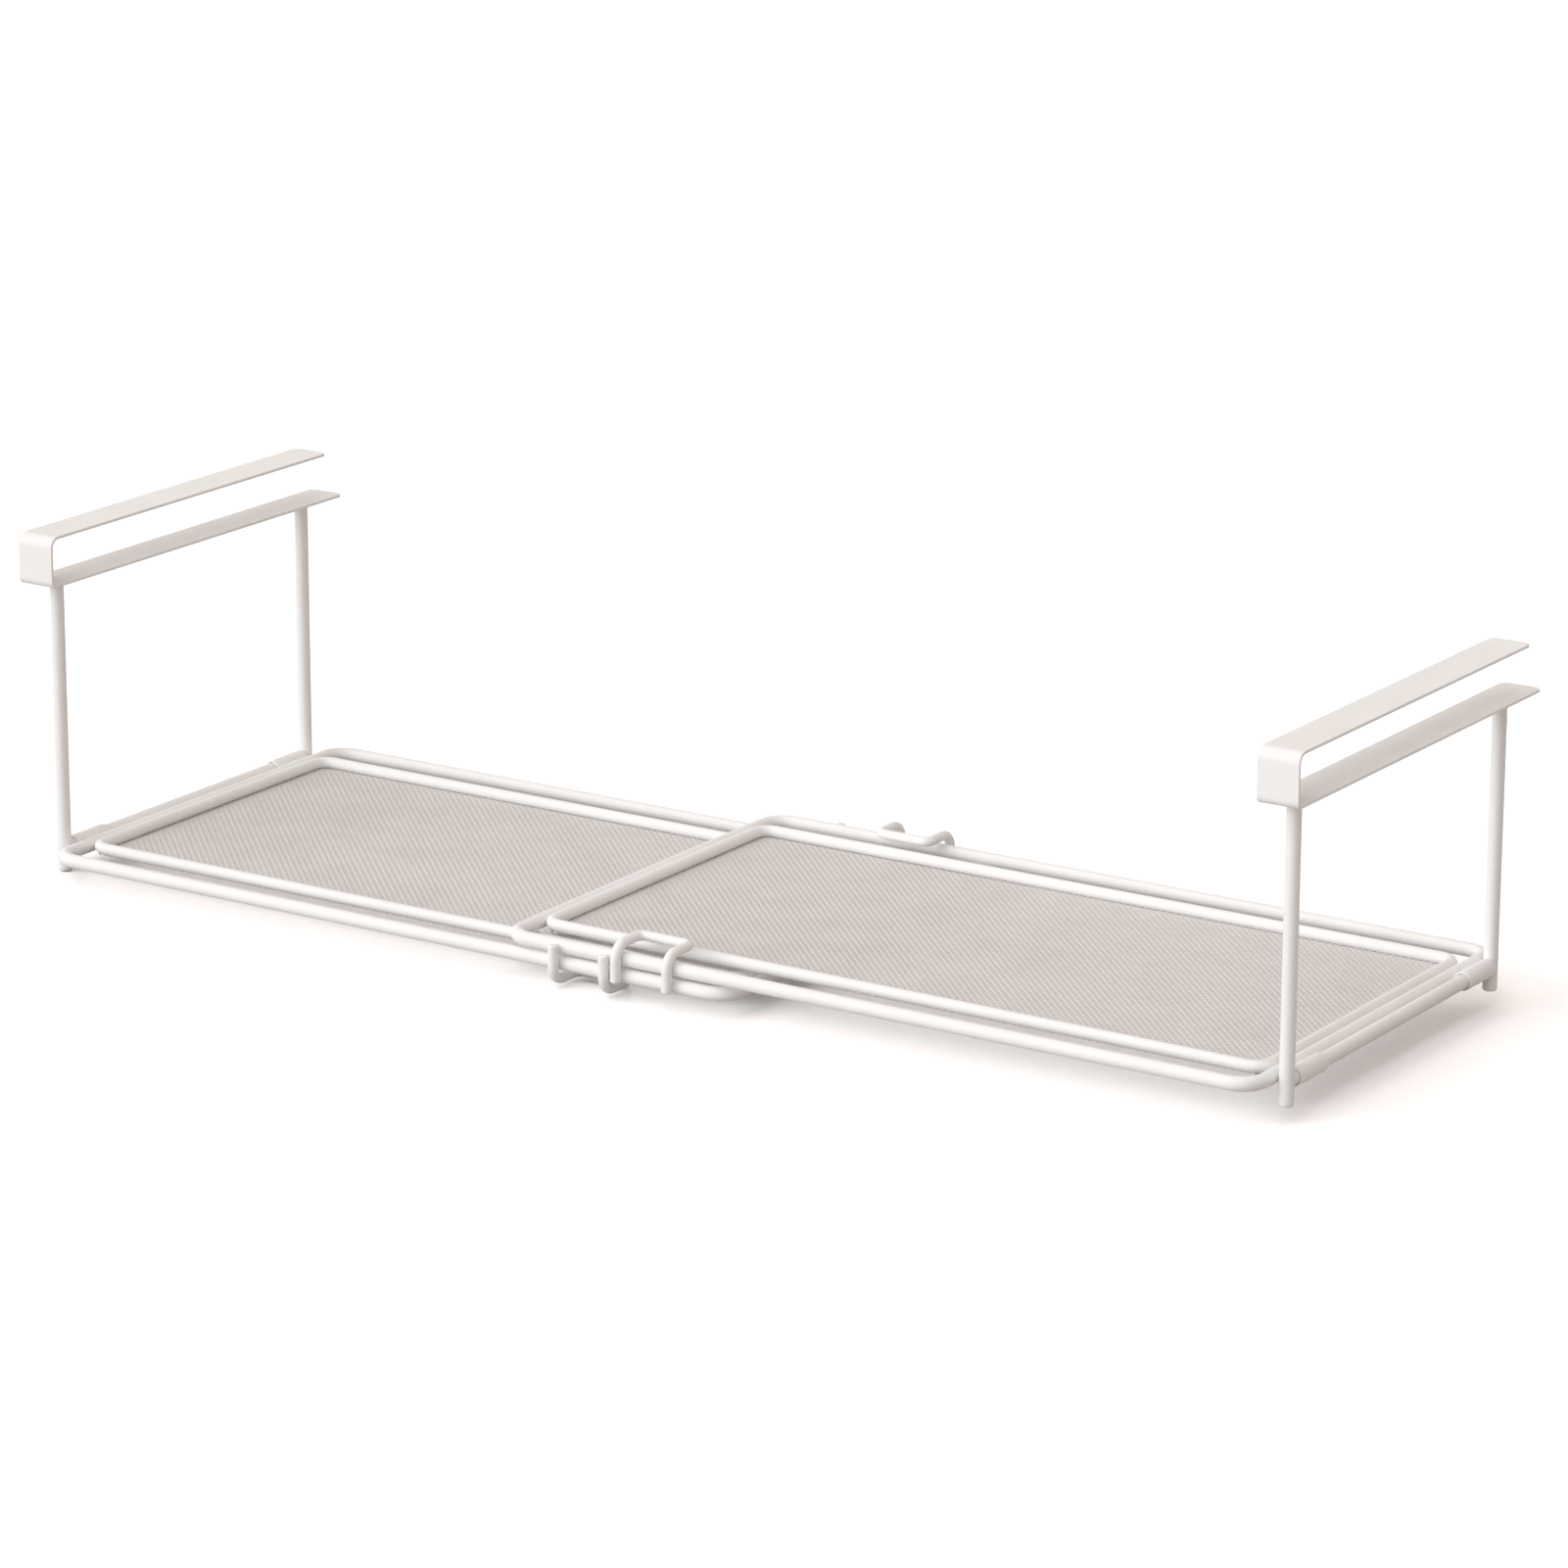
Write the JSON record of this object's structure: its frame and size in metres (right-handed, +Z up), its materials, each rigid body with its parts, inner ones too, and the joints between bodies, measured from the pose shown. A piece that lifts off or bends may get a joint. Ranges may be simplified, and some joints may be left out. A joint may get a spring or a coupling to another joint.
{
  "type": "under-shelf basket",
  "caption": "Extendable white wire tray with a fine mesh floor that hangs below a shelf board from hinged hangers with open clips at each end.",
  "frame": {"origin": "midway between the two hangers, on the plane of the shelf board's top face, where the top plates of the clips rest", "axes": "+X towards the right hanger, along the tray; +Y towards the back of the shelf; +Z up"},
  "size_m": [0.7208, 0.2516, 0.1768],
  "materials": {
    "rod_coat": "satin white powder coat on steel rod",
    "clip_coat": "satin white powder coat on steel strip",
    "mesh_coat": "satin white powder coat on fine steel mesh"
  },
  "bodies": {
    "left_tray": {"left_outer_frame": "rod_coat", "left_mesh_rim": "rod_coat", "left_mesh_panel": "mesh_coat", "left_hinge_tube_front": "rod_coat", "left_hinge_tube_rear": "rod_coat", "left_guide_front": "rod_coat", "left_guide_rear": "rod_coat"},
    "right_tray": {"right_outer_frame": "rod_coat", "right_mesh_rim": "rod_coat", "right_mesh_panel": "mesh_coat", "right_hinge_tube_front": "rod_coat", "right_hinge_tube_rear": "rod_coat", "right_guide_front": "rod_coat", "right_guide_rear": "rod_coat"},
    "left_hanger": {"left_shelf_clip": "clip_coat", "left_front_post": "rod_coat", "left_rear_post": "rod_coat", "left_hinge_rod": "rod_coat"},
    "right_hanger": {"right_shelf_clip": "clip_coat", "right_front_post": "rod_coat", "right_rear_post": "rod_coat", "right_hinge_rod": "rod_coat"}
  },
  "joints": [
    {"name": "tray_extension", "type": "slide", "parent": "left_tray", "child": "right_tray", "axis": [1, 0, 0], "range_m": [-0.265, 0]},
    {"name": "left_hanger_swing", "type": "hinge", "parent": "left_tray", "child": "left_hanger", "pos_m": [-0.3499, 0, -0.1633], "axis": [0, 1, 0], "range_deg": [-30, 30]},
    {"name": "right_hanger_swing", "type": "hinge", "parent": "right_tray", "child": "right_hanger", "pos_m": [0.3499, 0, -0.155], "axis": [0, 1, 0], "range_deg": [-30, 30]}
  ]
}
